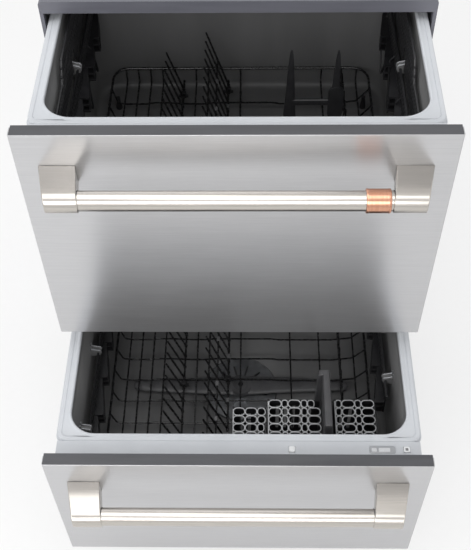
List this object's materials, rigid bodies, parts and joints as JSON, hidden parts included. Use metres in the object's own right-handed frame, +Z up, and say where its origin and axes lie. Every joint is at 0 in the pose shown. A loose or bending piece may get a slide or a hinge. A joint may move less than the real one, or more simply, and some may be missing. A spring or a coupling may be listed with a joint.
{
  "type": "two-drawer dishwasher",
  "caption": "Built-in dishwasher with two pull-out wash drawers, brushed steel fronts, bar handles, dish racks and cutlery baskets.",
  "frame": {"origin": "on the floor, under the middle of the whole object's box", "axes": "+X right as seen from the front, +Y from the front to the back, +Z up"},
  "size_m": [0.599, 1.15, 0.864],
  "materials": {
    "galvanised": "zinc coated sheet, matt",
    "brushed_steel": "brushed left to right",
    "rail_steel": "plain bright steel",
    "filter_steel": "perforated, dull",
    "nickel": "warm satin nickel",
    "copper": "brushed copper, bare",
    "dark_trim": "satin graphite",
    "rim_plastic": "satin pale grey",
    "tub_plastic": "satin dark grey",
    "rack_coating": "nylon coated wire",
    "black_plastic": "fine grain",
    "pale_plastic": "satin",
    "button_white": "gloss"
  },
  "bodies": {
    "cabinet": {"chassis_wrap": "galvanised", "back_panel": "galvanised", "base_tray": "galvanised", "front_trim": "dark_trim", "cabinet_rails": "rail_steel", "lid_guides": "pale_plastic", "rear_connections": "pale_plastic"},
    "feet": {"levelling_feet": "rail_steel"},
    "upper_middle_rails": {"upper_mid_rails": "rail_steel"},
    "lower_middle_rails": {"lower_mid_rails": "rail_steel"},
    "upper_tub_lid": {"upper_lid": "pale_plastic"},
    "lower_tub_lid": {"lower_lid": "pale_plastic"},
    "upper_drawer": {"upper_tub": "tub_plastic", "upper_rim": "rim_plastic", "upper_front_panel": "brushed_steel", "upper_door_frame": "dark_trim", "upper_handle_posts": "nickel", "upper_handle_bar": "nickel", "upper_control_strip": "rim_plastic", "upper_base_rack": "rack_coating", "upper_filter": "filter_steel", "upper_wash_motor": "black_plastic", "upper_drawer_rails": "rail_steel", "upper_dispenser": "tub_plastic", "handle_ring": "copper"},
    "upper_power_button": {"upper_power_button": "button_white"},
    "upper_start_button": {"upper_start_button": "button_white"},
    "upper_left_tines": {"upper_left_tines": "rack_coating"},
    "upper_right_tines": {"upper_right_tines": "rack_coating"},
    "upper_left_cup_rack": {"upper_left_cup_rack": "rack_coating"},
    "upper_right_cup_rack": {"upper_right_cup_rack": "rack_coating"},
    "upper_spray_arm": {"upper_spray_arm": "tub_plastic"},
    "upper_dispenser_door": {"upper_dispenser_door": "tub_plastic"},
    "lower_drawer": {"lower_tub": "tub_plastic", "lower_rim": "rim_plastic", "lower_front_panel": "brushed_steel", "lower_door_frame": "dark_trim", "lower_handle_posts": "nickel", "lower_handle_bar": "nickel", "lower_control_strip": "rim_plastic", "lower_base_rack": "rack_coating", "lower_filter": "filter_steel", "lower_wash_motor": "black_plastic", "lower_drawer_rails": "rail_steel", "lower_dispenser": "tub_plastic", "left_basket": "black_plastic", "middle_basket": "black_plastic", "right_basket": "black_plastic", "basket_grip": "black_plastic"},
    "lower_power_button": {"lower_power_button": "button_white"},
    "lower_start_button": {"lower_start_button": "button_white"},
    "lower_left_tines": {"lower_left_tines": "rack_coating"},
    "lower_right_tines": {"lower_right_tines": "rack_coating"},
    "lower_left_cup_rack": {"lower_left_cup_rack": "rack_coating"},
    "lower_right_cup_rack": {"lower_right_cup_rack": "rack_coating"},
    "lower_spray_arm": {"lower_spray_arm": "tub_plastic"},
    "lower_dispenser_door": {"lower_dispenser_door": "tub_plastic"},
    "left_basket_lid": {"left_basket_lid": "pale_plastic"},
    "middle_basket_lid": {"middle_basket_lid": "pale_plastic"},
    "right_basket_lid": {"right_basket_lid": "pale_plastic"}
  },
  "joints": [
    {"name": "feet_adjust", "type": "slide", "parent": "cabinet", "child": "feet", "axis": [0, 0, 1], "range_m": [-0.03, 0]},
    {"name": "upper_drawer_slide", "type": "slide", "parent": "cabinet", "child": "upper_drawer", "axis": [0, -1, 0], "range_m": [-0.2644, 0.2606]},
    {"name": "upper_middle_rail_slide", "type": "slide", "parent": "cabinet", "child": "upper_middle_rails", "axis": [0, -1, 0], "range_m": [-0.1323, 0.1304]},
    {"name": "upper_lid_drop", "type": "slide", "parent": "cabinet", "child": "upper_tub_lid", "axis": [0, 0, -1], "range_m": [0, 0.012]},
    {"name": "upper_power_press", "type": "slide", "parent": "upper_drawer", "child": "upper_power_button", "axis": [0, 0, -1], "range_m": [0, 0.0015], "stiffness_N_per_m": 300},
    {"name": "upper_start_press", "type": "slide", "parent": "upper_drawer", "child": "upper_start_button", "axis": [0, 0, -1], "range_m": [0, 0.0015], "stiffness_N_per_m": 300},
    {"name": "upper_left_tines_fold", "type": "hinge", "parent": "upper_drawer", "child": "upper_left_tines", "pos_m": [-0.107, 0.0329, 0.537], "axis": [0, -1, 0], "range_deg": [0, 66]},
    {"name": "upper_right_tines_fold", "type": "hinge", "parent": "upper_drawer", "child": "upper_right_tines", "pos_m": [-0.023, 0.0329, 0.537], "axis": [0, -1, 0], "range_deg": [0, 66]},
    {"name": "upper_left_cup_rack_fold", "type": "hinge", "parent": "upper_drawer", "child": "upper_left_cup_rack", "pos_m": [-0.258, 0.0329, 0.732], "axis": [0, -1, 0], "range_deg": [0, 90]},
    {"name": "upper_right_cup_rack_fold", "type": "hinge", "parent": "upper_drawer", "child": "upper_right_cup_rack", "pos_m": [0.258, 0.0329, 0.732], "axis": [0, 1, 0], "range_deg": [0, 90]},
    {"name": "upper_spray_arm_spin", "type": "hinge", "parent": "upper_drawer", "child": "upper_spray_arm", "pos_m": [0, 0.0329, 0.517], "axis": [0, 0, 1], "continuous": true},
    {"name": "upper_dispenser_slide", "type": "slide", "parent": "upper_drawer", "child": "upper_dispenser_door", "axis": [-1, 0, 0], "range_m": [0, 0.06]},
    {"name": "lower_drawer_slide", "type": "slide", "parent": "cabinet", "child": "lower_drawer", "axis": [0, -1, 0], "range_m": [-0.5084, 0.0166]},
    {"name": "lower_middle_rail_slide", "type": "slide", "parent": "cabinet", "child": "lower_middle_rails", "axis": [0, -1, 0], "range_m": [-0.2543, 0.0084]},
    {"name": "lower_lid_drop", "type": "slide", "parent": "cabinet", "child": "lower_tub_lid", "axis": [0, 0, -1], "range_m": [0, 0.012]},
    {"name": "lower_power_press", "type": "slide", "parent": "lower_drawer", "child": "lower_power_button", "axis": [0, 0, -1], "range_m": [0, 0.0015], "stiffness_N_per_m": 300},
    {"name": "lower_start_press", "type": "slide", "parent": "lower_drawer", "child": "lower_start_button", "axis": [0, 0, -1], "range_m": [0, 0.0015], "stiffness_N_per_m": 300},
    {"name": "lower_left_tines_fold", "type": "hinge", "parent": "lower_drawer", "child": "lower_left_tines", "pos_m": [-0.107, -0.2111, 0.182], "axis": [0, -1, 0], "range_deg": [0, 66]},
    {"name": "lower_right_tines_fold", "type": "hinge", "parent": "lower_drawer", "child": "lower_right_tines", "pos_m": [-0.023, -0.2111, 0.182], "axis": [0, -1, 0], "range_deg": [0, 66]},
    {"name": "lower_left_cup_rack_fold", "type": "hinge", "parent": "lower_drawer", "child": "lower_left_cup_rack", "pos_m": [-0.258, -0.2111, 0.282], "axis": [0, -1, 0], "range_deg": [0, 90]},
    {"name": "lower_right_cup_rack_fold", "type": "hinge", "parent": "lower_drawer", "child": "lower_right_cup_rack", "pos_m": [0.258, -0.2111, 0.282], "axis": [0, 1, 0], "range_deg": [0, 90]},
    {"name": "lower_spray_arm_spin", "type": "hinge", "parent": "lower_drawer", "child": "lower_spray_arm", "pos_m": [0, -0.2111, 0.162], "axis": [0, 0, 1], "continuous": true},
    {"name": "lower_dispenser_slide", "type": "slide", "parent": "lower_drawer", "child": "lower_dispenser_door", "axis": [-1, 0, 0], "range_m": [0, 0.06]},
    {"name": "left_basket_lid_hinge", "type": "hinge", "parent": "lower_drawer", "child": "left_basket_lid", "pos_m": [-0.0103, -0.378, 0.2906], "axis": [0, -1, 0], "range_deg": [0, 92]},
    {"name": "middle_basket_lid_hinge", "type": "hinge", "parent": "lower_drawer", "child": "middle_basket_lid", "pos_m": [0.0502, -0.378, 0.2906], "axis": [0, -1, 0], "range_deg": [0, 75]},
    {"name": "right_basket_lid_hinge", "type": "hinge", "parent": "lower_drawer", "child": "right_basket_lid", "pos_m": [0.1652, -0.378, 0.2906], "axis": [0, -1, 0], "range_deg": [0, 92]}
  ],
  "couplings": [
    {"joint": "upper_middle_rail_slide", "follows": "upper_drawer_slide", "ratio": 0.5},
    {"joint": "lower_middle_rail_slide", "follows": "lower_drawer_slide", "ratio": 0.5}
  ]
}
